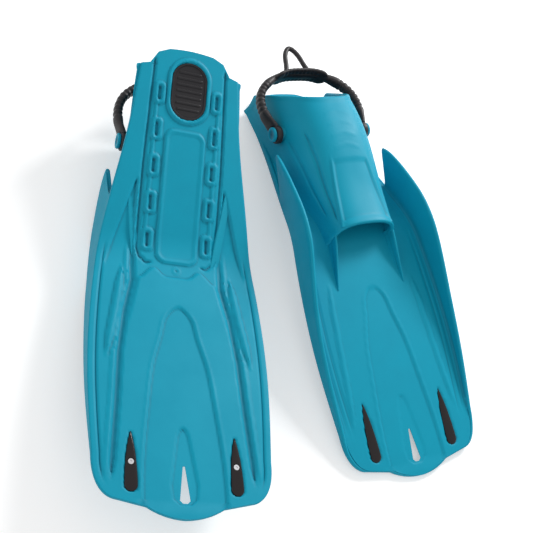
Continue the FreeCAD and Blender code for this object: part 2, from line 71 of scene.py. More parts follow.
class Curve:
    """A smooth line of one value through a few stations."""

    def __init__(self, stations: Points) -> None:
        """Works out the natural cubic spline through (place, value) stations."""
        self.at = np.array([a for a, _ in stations], float)
        self.value = np.array([b for _, b in stations], float)
        step, rise = np.diff(self.at), np.diff(self.value)
        count = len(self.at)
        system, right = np.eye(count), np.zeros(count)
        for i in range(1, count - 1):
            system[i, i - 1 : i + 2] = (step[i - 1], 2 * (step[i - 1] + step[i]), step[i])
            right[i] = 6 * (rise[i] / step[i] - rise[i - 1] / step[i - 1])
        self.bend = np.linalg.solve(system, right)

    def __call__(self, place: Array) -> Array:
        """Gives the values at the places, held level past both ends."""
        place = np.clip(place, self.at[0], self.at[-1])
        i = np.clip(np.searchsorted(self.at, place) - 1, 0, len(self.at) - 2)
        step = self.at[i + 1] - self.at[i]
        a, b = (self.at[i + 1] - place) / step, (place - self.at[i]) / step
        cubic = (a**3 - a) * self.bend[i] + (b**3 - b) * self.bend[i + 1]
        return a * self.value[i] + b * self.value[i + 1] + cubic * step**2 / 6


def path_distance(x: Array, s: Array, path: Points) -> tuple[Array, Array]:
    """Measures points against a line of straight runs.

    Args:
        x, s: the points' places.
        path: the corners of the line as (x, s).

    Returns:
        The distance to the line, and the share of the way along it.
    """
    corners = np.array(path, float)
    runs = np.linalg.norm(np.diff(corners, axis=0), axis=1)
    far, share = np.full(x.shape, 1e9), np.zeros(x.shape)
    gone = 0.0
    for start, end, run in zip(corners, corners[1:], runs):
        along = ((x - start[0]) * (end[0] - start[0]) + (s - start[1]) * (end[1] - start[1])) / run**2
        along = np.clip(along, 0.0, 1.0)
        gap = np.hypot(x - start[0] - along * (end[0] - start[0]), s - start[1] - along * (end[1] - start[1]))
        share = np.where(gap < far, (gone + along * run) / runs.sum(), share)
        far = np.minimum(far, gap)
        gone += run
    return far, share


def rib(x: Array, s: Array, path: Points, width: float, taper: float = 0.12) -> Array:
    """Profile, 0 to 1, of a round rib or groove along a line, thinned at both ends."""
    far, share = path_distance(x, s, path)
    ends = smooth(0.0, taper, share) * smooth(0.0, taper, 1.0 - share)
    half = width / 2 * np.maximum(ends, 0.05)
    return np.clip(1.0 - (far / half) ** 2, 0.0, 1.0) ** 0.7 * np.minimum(ends * 2, 1.0)


def oval(x: Array, s: Array, middle: float, half_wide: float, half_long: float, corner: float) -> Array:
    """Distance outside (or, below 0, inside) a rectangle with round corners."""
    a = np.abs(x) - (half_wide - corner)
    b = np.abs(s - middle) - (half_long - corner)
    return np.hypot(np.maximum(a, 0), np.maximum(b, 0)) + np.minimum(np.maximum(a, b), 0) - corner


def leaf(along: Array, radius: float, length: float) -> Array:
    """Half width of a leaf with a round end, at a distance past the round's middle."""
    gone = np.clip(-along / (length - radius), 0, 1)
    half = radius * (1 - gone**1.9) ** 0.8
    half = np.where(along > 0, np.sqrt(np.maximum(radius**2 - along**2, 0)), half)
    return np.where((along > radius) | (along < radius - length), -2.0, half)


def inside(distance: Array, edge: float = 0.9) -> Array:
    """1 inside an outline and 0 outside, with a sloped wall."""
    return 1.0 - smooth(-edge, edge, distance)


# --------------------------------------------------------------- mesh helpers


def positions(mesh: bmesh.types.BMesh) -> Array:
    """Every vertex's place, as rows."""
    return np.array([v.co[:] for v in mesh.verts], float).reshape(-1, 3)


def reposition(mesh: bmesh.types.BMesh, places: Array) -> None:
    """Moves every vertex to its row of places."""
    for vertex, place in zip(mesh.verts, places):
        vertex.co = place


def walk(way: Array, counts: Sequence[int]) -> tuple[Array, Array]:
    """Splits shares of a section's way round into its runs.

    Args:
        way: shares of the way round, 0 to 1.
        counts: faces in each run.

    Returns:
        The number of the run, and the share along it.
    """
    index, first = way * sum(counts), 0
    part, share = np.zeros(way.shape, int), np.zeros(way.shape)
    for number, count in enumerate(counts):
        here = index >= first - 1e-9
        part = np.where(here, number, part)
        share = np.where(here, np.clip((index - first) / count, 0, 1), share)
        first += count
    return part, share


def through(points: Array, u: Array) -> Array:
    """Places at shares u of a smooth line through (x, reach) points."""
    steps = np.concatenate([[0], np.cumsum(np.linalg.norm(np.diff(points, axis=0), axis=1))])
    steps /= steps[-1]
    x, reach = Curve(list(zip(steps, points[:, 0]))), Curve(list(zip(steps, points[:, 1])))
    return np.stack([x(u), reach(u)], 1)


def skin(rows: int, around: int, shape: Callable[[Array, Array], Array],
         ring: bool = False) -> bmesh.types.BMesh:
    """Closed skin made from a grid rolled into a tube.

    Args:
        rows, around: faces along the tube and around it.
        shape: gives (x, y, z) for shares (u along, v around), both 0 to 1.
        ring: whether the tube's two ends meet, as on a washer.

    Returns:
        The closed mesh, with its faces outwards.
    """
    mesh = bmesh.new()
    bmesh.ops.create_grid(mesh, x_segments=rows, y_segments=around, size=0.5)
    flat = positions(mesh) + 0.5
    reposition(mesh, shape(flat[:, 0], flat[:, 1]))
    bmesh.ops.remove_doubles(mesh, verts=mesh.verts[:], dist=1e-4)
    bmesh.ops.dissolve_degenerate(mesh, edges=mesh.edges[:], dist=1e-5)
    if not ring:
        open_edges = [e for e in mesh.edges if e.is_boundary]
        if open_edges:
            bmesh.ops.holes_fill(mesh, edges=open_edges, sides=0)
    bmesh.ops.recalc_face_normals(mesh, faces=mesh.faces[:])
    return mesh


def swept(rows: int, around: int, line: Callable[[Array], Array],
          half: Callable[[Array], tuple[Array, Array]], power: float = 2.4) -> bmesh.types.BMesh:
    """Solid bar that follows a flat line of (x, reach) points.

    Args:
        rows, around: faces along the bar and around it.
        line: gives (x, reach) rows for shares along the bar.
        half: gives the half thickness in the line's plane and the half height across it.
        power: 2 for an ellipse, more for a squarer section.

    Returns:
        The closed mesh in (x, reach, tall).
    """

    def shape(u: Array, v: Array) -> Array:
        """Places the shares u along and v around."""
        middle = line(u)
        ahead = line(np.clip(u + 0.002, 0, 1)) - line(np.clip(u - 0.002, 0, 1))
        ahead /= np.linalg.norm(ahead, axis=1)[:, None]
        turn = 2 * math.pi * v
        thick, tall = half(u)
        a = np.sign(np.cos(turn)) * np.abs(np.cos(turn)) ** (2 / power) * thick
        b = np.sign(np.sin(turn)) * np.abs(np.sin(turn)) ** (2 / power) * tall
        return np.stack([middle[:, 0] - ahead[:, 1] * a, middle[:, 1] + ahead[:, 0] * a, b], 1)

    return skin(rows, around, shape)


def joined(parts: Sequence[bmesh.types.BMesh]) -> bmesh.types.BMesh:
    """Puts several closed meshes together as one."""
    whole = bmesh.new()
    for part in parts:
        carrier = bpy.data.meshes.new("carrier")
        part.to_mesh(carrier)
        part.free()
        whole.from_mesh(carrier)
        bpy.data.meshes.remove(carrier)
    return whole


@dataclass(frozen=True)
class FinFrame:
    """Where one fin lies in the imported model."""

    side: str
    pivot: Array
    axes: Array

    @classmethod
    def of(cls, side: str) -> "FinFrame":
        """Reads a fin's place from its strap's joint and the mount on its sole."""
        joint = next(j for j in frame["joints"] if j["name"] == f"{side}_strap_swing")
        sole = next(m for m in frame["record"]["mounts"] if m["name"] == f"{side}_sole")
        across = -Vector(joint["axis"]).normalized()
        up = -Vector(sole["axis"]).normalized()
        along = up.cross(across)
        return cls(side, np.array(joint["pos_m"], float), np.array([across, along, up], float))

    def place(self, points: Array) -> Array:
        """Turns (x, y, z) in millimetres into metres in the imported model."""
        return self.pivot + ((points - np.array([0.0, STRAP_AT, STRAP_HEIGHT])) * MM) @ self.axes


def piece(name: str, mesh: bmesh.types.BMesh, fin: FinFrame, body: str,
          material: bpy.types.Material, nodes: Sequence[str], crease: float = 50.0) -> bpy.types.Object:
    """Makes a finished piece out of a mesh in a fin's own frame.

    Args:
        name: the piece's name, without its side.
        mesh: the closed mesh, in millimetres. It is used up.
        fin: the fin that it belongs to.
        body: the body that it rides on.
        material: its finish.
        nodes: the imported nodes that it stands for, without their side.
        crease: edges sharper than this many degrees stay sharp.

    Returns:
        The new object.
    """
    reposition(mesh, fin.place(positions(mesh)))
    limit = math.radians(crease)
    for face in mesh.faces:
        face.smooth = True
    for edge in mesh.edges:
        edge.smooth = edge.calc_face_angle(0.0) < limit
    data = bpy.data.meshes.new(f"{fin.side}_{name}")
    mesh.to_mesh(data)
    mesh.free()
    data.materials.append(material)
    obj = bpy.data.objects.new(f"{fin.side}_{name}", data)
    bpy.context.scene.collection.objects.link(obj)
    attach(obj, body)
    if nodes:
        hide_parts(*[f"{fin.side}_{node}" for node in nodes])
    log.info("%s: %d faces", obj.name, len(data.polygons))
    return obj


# ------------------------------------------------------------------- finishes


class Relief(Enum):
    """How the fine bump of a finish is made."""

    GRAIN = "grain"
    TURNED = "turned"
    POLISHED = "polished"


@dataclass(frozen=True)
class Finish:
    """One moulded, turned or polished finish.

    Colours are linear; deep is a painted shade colour for concave places. Scales are in waves per metre and depths
    in metres.
    """

    name: str
    colour: tuple[float, float, float]
    shade: tuple[float, float, float]
    rough: float
    rough_spread: float = 0.06
    metallic: float = 0.0
    coat: float = 0.0
    sheen: float = 0.0
    specular: float = 0.5
    relief: Relief = Relief.GRAIN
    grain_scale: float = 1400.0
    grain_depth: float = 0.00006
    cloud_scale: float = 22.0
    wear: float = 0.0
    worn: tuple[float, float, float] = (0.5, 0.5, 0.5)
    # recess and deep paint shade: concave places are darkened towards the deep colour, by up to recess, to stand
    # in for shade in grooves and hollows.
    recess: float = 0.0
    deep: tuple[float, float, float] = (0.0, 0.0, 0.0)

    def material(self) -> bpy.types.Material:
        """Builds the node material: clouded colour, painted shade in concave hollows, worn edges, uneven gloss and
        fine bump.
        """
        made = bpy.data.materials.new(self.name)
        made.use_nodes = True
        nodes, links = made.node_tree.nodes, made.node_tree.links
        shader = nodes["Principled BSDF"]
        place = nodes.new("ShaderNodeTexCoord").outputs["Object"]
        cloud = self.noise(nodes, links, place, self.cloud_scale, 4.0)
        speck = self.noise(nodes, links, place, self.grain_scale / 3, 2.0)
        mixed = self.mix(nodes, links, cloud, self.colour, self.shade)
        edges = nodes.new("ShaderNodeNewGeometry").outputs["Pointiness"]
        # Painted shade: concave places (pointiness 0.495 down to 0.44) are mixed, up to recess, towards the dark
        # deep colour, as shade in grooves.
        if self.recess:
            hollow = self.span(nodes, links, edges, 0.495, 0.44, 0.0, self.recess)
            mixed = self.mix(nodes, links, hollow, mixed, self.deep)
        if self.wear:
            worn = self.span(nodes, links, edges, 0.53, 0.62, 0.0, self.wear)
            uneven = nodes.new("ShaderNodeMath")
            uneven.operation = "MULTIPLY"
            links.new(worn, uneven.inputs[0])
            links.new(speck, uneven.inputs[1])
            mixed = self.mix(nodes, links, uneven.outputs[0], mixed, self.worn)
        links.new(mixed, shader.inputs["Base Color"])
        smoothest, roughest = self.rough - self.rough_spread, self.rough + self.rough_spread
        gloss = self.span(nodes, links, cloud, 0.3, 0.7, smoothest, roughest)
        links.new(gloss, shader.inputs["Roughness"])
        shader.inputs["Metallic"].default_value = self.metallic
        shader.inputs["Specular IOR Level"].default_value = self.specular
        shader.inputs["Coat Weight"].default_value = self.coat
        shader.inputs["Coat Roughness"].default_value = 0.22
        shader.inputs["Sheen Weight"].default_value = self.sheen
        shader.inputs["Sheen Roughness"].default_value = 0.5
        self.bump(nodes, links, place, shader)
        return made

    def bump(self, nodes: Nodes, links: Links, place: Socket, shader: bpy.types.Node) -> None:
        """Adds the fine surface: moulded grain, turning rings or a faint polish."""
        if self.relief is Relief.TURNED:
            rings = nodes.new("ShaderNodeTexWave")
            rings.wave_type = "RINGS"
            rings.inputs["Scale"].default_value = self.grain_scale
            links.new(place, rings.inputs["Vector"])
            height = rings.outputs["Fac"]
        else:
            height = self.noise(nodes, links, place, self.grain_scale, 5.0)
        bump = nodes.new("ShaderNodeBump")
        bump.inputs["Strength"].default_value = 0.25 if self.relief is Relief.POLISHED else 1.0
        bump.inputs["Distance"].default_value = self.grain_depth
        links.new(height, bump.inputs["Height"])
        links.new(bump.outputs["Normal"], shader.inputs["Normal"])

    @staticmethod
    def noise(nodes: Nodes, links: Links, place: Socket, scale: float, detail: float) -> Socket:
        """Adds a noise texture and returns its value socket."""
        texture = nodes.new("ShaderNodeTexNoise")
        texture.inputs["Scale"].default_value = scale
        texture.inputs["Detail"].default_value = detail
        texture.inputs["Roughness"].default_value = 0.55
        links.new(place, texture.inputs["Vector"])
        return texture.outputs["Fac"]

    @staticmethod
    def span(nodes: Nodes, links: Links, value: Socket, low: float, high: float, start: float,
             end: float) -> Socket:
        """Maps low..high of a socket to start..end and returns the new socket."""
        ranged = nodes.new("ShaderNodeMapRange")
        for name, number in (("From Min", low), ("From Max", high), ("To Min", start), ("To Max", end)):
            ranged.inputs[name].default_value = number
        links.new(value, ranged.inputs["Value"])
        return ranged.outputs["Result"]

    @staticmethod
    def mix(nodes: Nodes, links: Links, share: Socket, first: "Socket | Colour",
            second: "Socket | Colour") -> Socket:
        """Mixes two colours, or a socket and a colour, by a share."""
        blend = nodes.new("ShaderNodeMix")
        blend.data_type = "RGBA"
        links.new(share, blend.inputs["Factor"])
        for socket, colour in ((blend.inputs["A"], first), (blend.inputs["B"], second)):
            if isinstance(colour, tuple):
                socket.default_value = (*colour, 1.0)
            else:
                links.new(colour, socket)
        return blend.outputs["Result"]


# The teal rubber paints shade into its grooves and hollows: recess 0.9 towards the dark deep colour.
TEAL = Finish("teal_rubber", (0.003, 0.37, 0.53), (0.002, 0.31, 0.46), 0.52, specular=0.18,
              wear=0.5, worn=(0.03, 0.50, 0.66), recess=0.9, deep=(0.001, 0.09, 0.15))
CHARCOAL = Finish("charcoal_silicone", (0.014, 0.012, 0.014), (0.024, 0.020, 0.021), 0.48, specular=0.3,
                  grain_scale=1100.0, grain_depth=0.00008, wear=0.4, worn=(0.10, 0.09, 0.09))
BADGE_BLACK = Finish("satin_black_plastic", (0.011, 0.010, 0.013), (0.018, 0.017, 0.019), 0.36, specular=0.25,
                     wear=0.4, worn=(0.09, 0.09, 0.09))
INSERT_BLACK = Finish("gloss_black_plastic", (0.006, 0.005, 0.006), (0.012, 0.006, 0.006), 0.14, 0.04,
                      specular=0.3, relief=Relief.POLISHED, grain_scale=500.0, grain_depth=0.00002)
STEEL = Finish("polished_steel", (0.62, 0.62, 0.63), (0.48, 0.48, 0.50), 0.26, 0.06, metallic=1.0,
               relief=Relief.TURNED, grain_scale=900.0, grain_depth=0.00001)
BRASS = Finish("turned_brass", (0.72, 0.50, 0.20), (0.60, 0.40, 0.16), 0.3, 0.05, metallic=1.0,
               relief=Relief.TURNED, grain_scale=900.0, grain_depth=0.00001)

# ----------------------------------------------------------------- fin sizes

STRAP_AT, STRAP_HEIGHT = 112.0, 40.0  # the strap's swing axis, from the heel and above the sole
PLATE_THICK = 7.0
BEND_AT, BEND_ANGLE, BEND_RADIUS = 248.0, math.radians(23.0), 110.0
TOE_AT = 266.0  # heel end to the toe opening
LENGTH = 560.0


def bent(points: Array) -> Array:
    """Carries (x, s, h) round the bend between foot plate and blade."""
    x, s, h = points.T
    start = BEND_AT - BEND_RADIUS * BEND_ANGLE / 2
    turned = np.clip((s - start) / BEND_RADIUS, 0.0, BEND_ANGLE)
    past = np.maximum(s - start - BEND_RADIUS * BEND_ANGLE, 0.0)
    radius = BEND_RADIUS + h
    y = np.minimum(s, start) + radius * np.sin(turned) + past * np.cos(turned)
    z = -BEND_RADIUS + radius * np.cos(turned) - past * np.sin(turned)
    return np.stack([x, y, z], 1)


@dataclass
class Blade:
    """Foot plate, blade and side rails as one moulding, with its relief."""

    tip_thick: float = 5.0
    rail_thick: float = 5.0
    rail_lean: float = 40.0
    horn_height: float = 38.0
    edge_round: float = 1.3
    wing_depth: float = 46.3
    deepest: float = 3.0
    heel_end: float = -2.0
    tread_x: float = 31.0
    tread_first: float = 57.0
    tread_pitch: float = 44.5
    tread_count: int = 5
    insert_x: float = 56.0
    insert_round: float = 527.0
    screw_at: float = 503.0
    insert_width: float = 14.0
    insert_length: float = 64.0
    slot_top: float = 504.0
    slot_end: float = 543.0
    slot_width: float = 11.0
    rows: tuple[tuple[float, int, float], ...] = (
        (0.0, 5, 0.5), (6.0, 5, 1.0), (21.0, 9, 1.0), (24.5, 5, 1.0), (184.0, 84, 1.0), (191.0, 9, 1.0),
        (495.0, 158, 1.0), (541.0, 26, 1.7), (548.0, 6, 1.0), (560.0, 9, 2.0))

    def __post_init__(self) -> None:
        """Sets up the outline, the rails' top edge and the ring of the section."""
        self.side = Curve([(24, 61), (112, 70), (189, 82.75), (266, 93.5), (333, 99.25), (400, 101),
                           (495, 96)])
        self.rail = Curve([(190, 40), (208, 45), (266, 45), (350, 27.9), (433, 16.2), (518, 5.3)])
        self.channel = Curve([(317, 0.5), (326, 10), (350, 19), (383, 28), (428, 35), (454, 38), (508, 43),
                              (550, 44)])
        self.pieces = [("sole", 54), ("low_round", 3), ("outer", 7), ("top", 6), ("inner", 7), ("foot", 2),
                       ("plate", 42)]

    def half_width(self, s: Array) -> Array:
        """Half the fin's width at s, from heel block to tip lobe."""
        heel = np.interp(s, [0, 6, 21, 24, 25], [28, 41, 50, 60.5, 61])
        dome = np.sqrt(np.maximum(197.0**2 - (197.0 + self.heel_end - s) ** 2, 0))
        lobe_end = np.interp(s, [541, 548], [73, 41])
        lobe = np.sqrt(np.maximum(76.0**2 - (76.0 - LENGTH + s) ** 2, 0))
        width = np.where(s < 24.5, heel, self.side(s))
        width = np.where(s < 0, np.minimum(dome, 28), width)
        turn = np.clip((s - 495) / self.wing_depth, 0, 1)
        width = np.where(s > 495, 70 + 26 * np.sqrt(1 - turn**2.4), width)
        width = np.where(s > 541, lobe_end, width)
        return np.maximum(np.where(s > 548, np.minimum(lobe, 41), width), 0.02)

    def thick(self, s: Array) -> Array:
        """Plate thickness at s."""
        return np.interp(s, [BEND_AT - 22, LENGTH + 20], [PLATE_THICK, self.tip_thick])

    def row_place(self, u: Array) -> Array:
        """Turns a share of the rows into a place along the fin."""
        total = sum(count for _, count, _ in self.rows)
        index, place = u * total, np.full(u.shape, self.heel_end)
        first, start = 0, self.heel_end
        for end, count, ease in self.rows:
            share = np.clip((index - first) / count, 0, 1)
            eased = 1 - (1 - share) ** ease if ease > 1 else share ** (1 / ease)
            place = np.where(index > first, start + (end - start) * eased, place)
            first, start = first + count, end
        return place

    def section(self, v: Array, s: Array) -> tuple[Array, Array, Array, Array]:
        """Walks round the section at s: sole, edge, rail and plate.

        Returns:
            x, h, and how fully the sole's and the top's relief count there.
        """
        side = np.where(v > 0.5, -1.0, 1.0)
        half = np.where(v > 0.5, 1.0 - v, v) * 2
        part, share = walk(half, [count for _, count in self.pieces])
        wide, plate = self.half_width(s), self.thick(s)
        on = smooth(186.5, 190.5, s)
        high = np.maximum(plate, plate + (self.rail(s) - plate) * on)
        round_ = np.minimum(self.edge_round, wide * 0.4)
        rail = np.minimum(self.rail_thick, wide * 0.5)
        turn = share * math.pi / 2
        lip = rail / 2
        x = np.choose(part, [
            (wide - round_) * share,
            wide - round_ + round_ * np.sin(turn),
            wide + 0 * s,
            wide - lip + lip * np.cos(2 * turn),
            wide - rail + 0 * s,
            wide - rail - np.minimum(2.0, wide * 0.2) * np.sin(turn),
            (wide - rail - np.minimum(2.0, wide * 0.2)) * (1 - share),
        ])
        crown = np.minimum(lip, (high - round_) * 0.5)
        low_top = high - crown
        foot = np.minimum(2.0, np.maximum(low_top - plate, 0))
        h = np.choose(part, [
            0 * s,
            round_ - round_ * np.cos(turn),
            round_ + (low_top - round_) * share,
            low_top + crown * np.sin(2 * turn),
            low_top + (plate + foot - low_top) * share,
            plate + foot - foot * np.sin(turn),
            plate + 0 * s,
        ])
        return side * x, h, (part == 0).astype(float), (part == 6).astype(float)

    def sole_relief(self, x: Array, s: Array) -> Array:
        """How far the sole stands out from its plane at (x, s)."""
        a = np.abs(x)
        ring = inside(oval(x, s, 49, 26.5, 41.5, 26.5))
        seat = inside(oval(x, s, 49, 22.2, 36.2, 22.2), 0.6)
        out = 1.9 * ring - 3.9 * seat
        out += 2.0 * inside(oval(x, s, 180, 24.5, 81, 12), 0.7)
        out -= 0.9 * inside(oval(x, s, 180, 20.5, 77, 9), 2.2)
        boss, dimple = oval(x, s, 270.5, 4.2, 4.2, 4.2), oval(x, s, 270.5, 2.4, 2.4, 2.4)
        out += 0.9 * inside(boss) - 1.2 * inside(dimple, 0.6)
        for i in range(self.tread_count):
            middle = self.tread_first + i * self.tread_pitch
            pad = oval(a - self.tread_x - 4.5, s, middle, 6.6, 13.5, 5.0)
            groove = oval(a - self.tread_x - 4.5, s, middle, 2.3, 9.0, 2.3)
            out += 1.9 * inside(pad, 0.7) - 3.0 * inside(groove, 0.8)
            if i:
                link = oval(a - self.tread_x - 7.5, s, middle - self.tread_pitch / 2, 1.6, 11, 1.5)
                out += 1.1 * inside(link, 0.7) * (1 - inside(pad, 0.8))
        contour = [(44, 12), (45.5, 68), (47.5, 142), (47.5, 245), (44, 256), (36, 263), (27, 262)]
        out -= 2.3 * rib(a, s, contour, 4.6, 0.03)
        outer = np.interp(s, [165, 300], [54, 92])
        wedge = smooth(-1.0, 1.0, a - np.interp(s, [165, 290], [52.5, 52])) * smooth(-1.2, 1.2, outer - a)
        out -= 2.6 * wedge * smooth(162, 170, s) * (1 - smooth(240, 296, s))
        wave = 281 - 10.5 * np.exp(-(((a - 27) / 8.5) ** 2)) + 4 * smooth(34, 44, a)
        side = np.interp(s, [281, 366], [44, 62])
        toe = smooth(-1.2, 1.2, s - wave) * smooth(-1.2, 1.2, side - a)
        out += 2.1 * toe * (1 - smooth(300, 372, s))
        main = [(51.5, 235), (52, 287), (61, 330), (67, 380), (70, 437), (76.5, 528)]
        out -= 2.9 * rib(a, s, main, 8.0, 0.10)
        out += 0.9 * rib(a - 6.5, s, main, 6.0, 0.10)
        out += 2.6 * rib(a, s, [(62, 262), (69, 310), (83, 396)], 9.0, 0.3)
        out -= 0.8 * rib(a, s, [(56, 258), (64, 318), (78, 400)], 4.0, 0.3)
        edge = self.half_width(s) - a
        out -= 1.7 * inside(np.abs(edge - 8.5) - 0.9, 0.8) * smooth(238, 262, s) * (1 - smooth(505, 532, s))
        wide = self.channel(s)
        floor = smooth(-1.0, 1.0, wide - a) * smooth(316, 322, s)
        out -= 1.6 * floor * (1 - smooth(540, 556, s))
        bank = inside(np.abs(a - wide - 2.6) - 0.9, 0.9)
        out += 0.7 * bank * smooth(322, 334, s) * (1 - smooth(520, 545, s))
        out = np.maximum(out - 1.4 * self.slot_recess(a, s), -self.deepest)
        recess = self.insert_seat(a, s, self.insert_length)
        return np.where(recess > 0.02, -1.7 * recess, out)

    def slot_recess(self, a: Array, s: Array) -> Array:
        """Drop-shaped hollow round the through slot, 0 to 1."""
        wide = np.interp(s, [470, 525, 541], [6.0, 14.5, 12.5])
        wide = wide * np.sqrt(np.clip((s - 462) / 9, 0, 1) * np.clip((547 - s) / 8, 0, 1))
        return smooth(-0.9, 0.9, wide - a) * smooth(461, 464, s) * (1 - smooth(544, 546.5, s))

    def insert_seat(self, a: Array, s: Array, length: float) -> Array:
        """Hollow that a tip insert sits in, with a narrow joint round it, 0 to 1."""
        wide = leaf(s - self.insert_round, self.insert_width / 2, length)
        return smooth(-0.5, 0.3, wide + 0.5 - np.abs(a - self.insert_x))

    def top_relief(self, x: Array, s: Array) -> Array:
        """How far the top of the plate stands up at (x, s)."""
        a = np.abs(x)
        wide = self.channel(s - 4) * 0.9
        out = -1.0 * smooth(-1.0, 1.0, wide - a) * smooth(322, 330, s) * (1 - smooth(540, 556, s))
        bank = inside(np.abs(a - wide - 2.4) - 1.0, 0.9)
        out += 0.9 * bank * smooth(326, 340, s) * (1 - smooth(520, 545, s))
        out -= 0.6 * self.slot_recess(a, s)
        inner = self.half_width(s) - self.rail_thick - a
        for gap, deep in ((7.0, 1.6), (13.0, 1.2)):
            line = inside(np.abs(inner - gap) - 0.7, 0.9)
            out -= deep * line * smooth(205, 240, s) * (1 - smooth(470, 510, s))
        out += 1.2 * rib(a, s, [(58, 300), (64, 350), (70, 437), (76, 500)], 7.5, 0.25)
        seat = self.insert_seat(a, s, self.insert_length + 6)
        out = np.where(seat > 0.02, -1.6 * seat, out)
        for i in range(6):
            out += 0.5 * inside(oval(x, s, 60 + 16 * i, 30, 3.2, 3.0), 0.8)
        return out

    def mesh(self) -> bmesh.types.BMesh:
        """Builds the whole moulding in the fin's own frame."""
        total = sum(count for _, count, _ in self.rows)
        around = 2 * sum(count for _, count in self.pieces)

        def shape(u: Array, v: Array) -> Array:
            """Places the shares u along and v around."""
            s = self.row_place(u)
            x, h, sole, top = self.section(v, s)
            wide = self.half_width(s)
            fade = smooth(0.4, 3.5, wide - np.abs(x)) * smooth(-1.5, 2.0, s) * smooth(0, 5, LENGTH - s)
            h = h - sole * fade * self.sole_relief(x, s) + top * fade * self.top_relief(x, s)
            lift = np.clip((h - PLATE_THICK) / (self.horn_height - PLATE_THICK), 0, 1.2)
            s = s - self.rail_lean * lift * (1 - smooth(190, 285, s)) * smooth(184, 190, s)
            return np.stack([x, s, h], 1)

        mesh = skin(total, around, shape)
        self.cut_slot(mesh)
        reposition(mesh, bent(positions(mesh)))
        bmesh.ops.recalc_face_normals(mesh, faces=mesh.faces[:])
        return mesh

    def cut_slot(self, mesh: bmesh.types.BMesh) -> None:
        """Cuts the through slot near the tip and walls it in."""
        half, end = self.slot_width / 2, self.slot_end
        right = [(1.2, self.slot_top), (half, end - 3), (half - 3, end)]
        corners = right + [(-x, s) for x, s in reversed(right)]
        runs = list(zip(corners, corners[1:] + corners[:1]))
        for (ax, as_), (bx, bs) in runs:
            near = [f for f in mesh.faces if abs(f.calc_center_median().x) < 12
                    and self.slot_top - 6 < f.calc_center_median().y < end + 6]
            corners_near = list({v for f in near for v in f.verts})
            geometry = corners_near + list({e for f in near for e in f.edges}) + near
            normal = Vector((bs - as_, ax - bx, 0)).normalized()
            bmesh.ops.bisect_plane(mesh, geom=geometry, dist=0.01, plane_co=Vector((ax, as_, 0)),
                                   plane_no=normal)
        gone = []
        for face in mesh.faces:
            middle = face.calc_center_median()
            if abs(middle.x) > half or not self.slot_top < middle.y < end:
                continue
            if all((middle.x - ax) * (bs - as_) - (middle.y - as_) * (bx - ax) < 0
                   for (ax, as_), (bx, bs) in runs):
                gone.append(face)
        bmesh.ops.delete(mesh, geom=gone, context="FACES")
        rims = [e for e in mesh.edges if e.is_boundary]
        if rims:
            bmesh.ops.bridge_loops(mesh, edges=rims)


